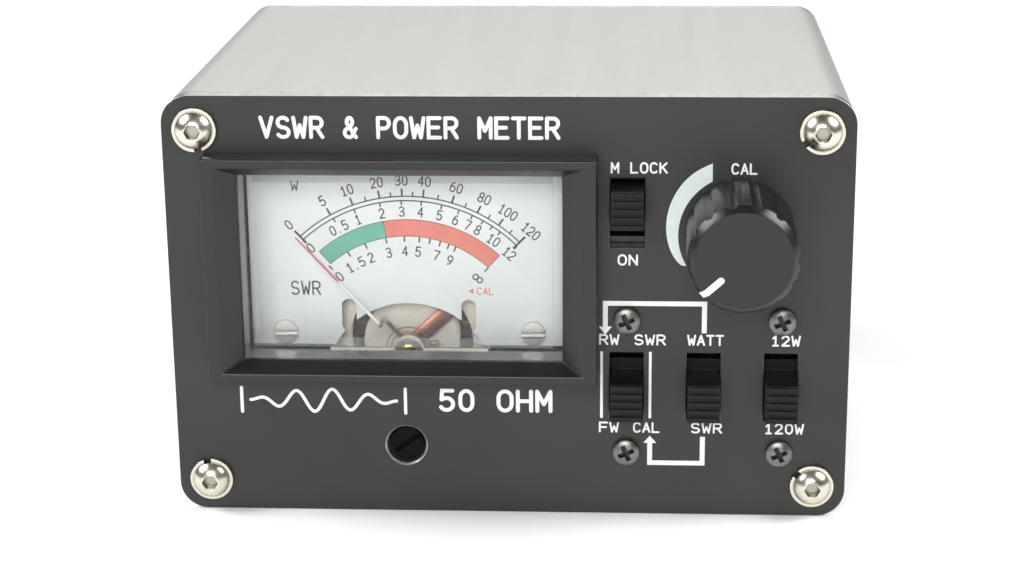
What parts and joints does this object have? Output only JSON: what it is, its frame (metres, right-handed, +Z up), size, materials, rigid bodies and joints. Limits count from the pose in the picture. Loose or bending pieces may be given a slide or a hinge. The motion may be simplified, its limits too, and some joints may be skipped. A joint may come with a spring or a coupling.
{
  "type": "SWR meter",
  "caption": "Bench standing-wave and power meter in an aluminium case with a moving-coil dial, calibration knob, slide switches and rear coaxial sockets.",
  "frame": {"origin": "bottom centre of the whole object's box, on the surface it stands on", "axes": "+X to the right of a person facing the front panel, +Y from the front panel to the rear panel, +Z up"},
  "size_m": [0.105, 0.1134, 0.067],
  "materials": {
    "satin_aluminium": "satin",
    "black_panel": "satin",
    "nickel": "satin",
    "black_steel": "satin",
    "bezel_plastic": "satin",
    "black_plastic": "satin",
    "clear_cover": "polished",
    "dial_white": "matte",
    "white_line": "satin",
    "needle_paint": "satin",
    "brass": "satin",
    "steel": "satin",
    "soft_iron": "matte",
    "copper": "satin",
    "ferrite": "matte",
    "phenolic": "matte",
    "circuit_board": "satin",
    "white_insulator": "satin",
    "diode_glass": "gloss",
    "resistor_blue": "satin",
    "capacitor_tan": "satin",
    "trimmer_blue": "satin",
    "wire_sleeve": "satin"
  },
  "bodies": {
    "housing": {"case_tube": "satin_aluminium", "front_panel": "black_panel", "rear_panel": "black_panel", "corner_screws": "nickel", "lock_washers": "nickel", "meter_bezel": "bezel_plastic", "meter_cover": "clear_cover", "meter_base": "black_plastic", "dial_plate": "dial_white", "dial_screws": "steel", "meter_yoke": "soft_iron", "meter_core": "soft_iron", "core_clamps": "steel", "front_bridge": "soft_iron", "rear_bridge": "brass", "jewel_screws": "brass", "bridge_screws": "steel", "hairsprings": "copper", "meter_studs": "brass", "stud_nuts": "brass", "switch_frames": "black_steel", "switch_bases": "black_plastic", "switch_terminals": "steel", "switch_board": "circuit_board", "board_standoffs": "brass", "panel_screws": "black_steel", "board_screws": "steel", "control_case": "steel", "control_wafer": "phenolic", "control_bushing": "brass", "control_nut": "nickel", "control_washer": "nickel", "antenna_socket": "nickel", "transmitter_socket": "nickel", "socket_insulators": "white_insulator", "socket_contacts": "brass", "socket_screws": "nickel", "coupler_board": "circuit_board", "through_line": "copper", "current_toroid": "ferrite", "toroid_winding": "copper", "coupler_diodes": "diode_glass", "coupler_resistors": "resistor_blue", "coupler_capacitors": "capacitor_tan", "balance_trimmer": "trimmer_blue", "sense_wires": "wire_sleeve", "meter_wires": "wire_sleeve"},
    "knob": {"cal_knob": "black_plastic", "knob_pointer": "white_line", "control_shaft": "steel"},
    "lock_button": {"lock_slider": "black_plastic"},
    "direction_button": {"direction_slider": "black_plastic"},
    "function_button": {"function_slider": "black_plastic"},
    "range_button": {"range_slider": "black_plastic"},
    "pointer": {"needle": "needle_paint", "moving_coil": "copper", "balance_weights": "brass"},
    "adjuster": {"zero_adjuster": "black_plastic"},
    "lever": {"zero_lever": "steel"}
  },
  "joints": [
    {"name": "knob_turn", "type": "hinge", "parent": "housing", "child": "knob", "pos_m": [0.0353, -0.04025, 0.0463], "axis": [0, 1, 0], "range_deg": [0, 270]},
    {"name": "lock_slide", "type": "slide", "parent": "housing", "child": "lock_button", "axis": [0, 0, 1], "range_m": [-0.0028, 0]},
    {"name": "direction_slide", "type": "slide", "parent": "housing", "child": "direction_button", "axis": [0, 0, 1], "range_m": [0, 0.0028]},
    {"name": "function_slide", "type": "slide", "parent": "housing", "child": "function_button", "axis": [0, 0, 1], "range_m": [0, 0.0028]},
    {"name": "range_slide", "type": "slide", "parent": "housing", "child": "range_button", "axis": [0, 0, 1], "range_m": [0, 0.0028]},
    {"name": "pointer_swing", "type": "hinge", "parent": "housing", "child": "pointer", "pos_m": [-0.0162, -0.03125, 0.02455], "axis": [0, 1, 0], "range_deg": [0, 88], "stiffness_Nm_per_rad": 0.0002},
    {"name": "adjuster_turn", "type": "hinge", "parent": "housing", "child": "adjuster", "pos_m": [-0.0162, -0.03725, 0.01105], "axis": [0, 1, 0], "range_deg": [-45, 45]},
    {"name": "lever_turn", "type": "hinge", "parent": "housing", "child": "lever", "pos_m": [-0.0162, -0.03415, 0.02455], "axis": [0, 1, 0], "range_deg": [-4, 4]}
  ],
  "couplings": [
    {"joint": "lever_turn", "follows": "adjuster_turn", "ratio": -0.0721}
  ]
}
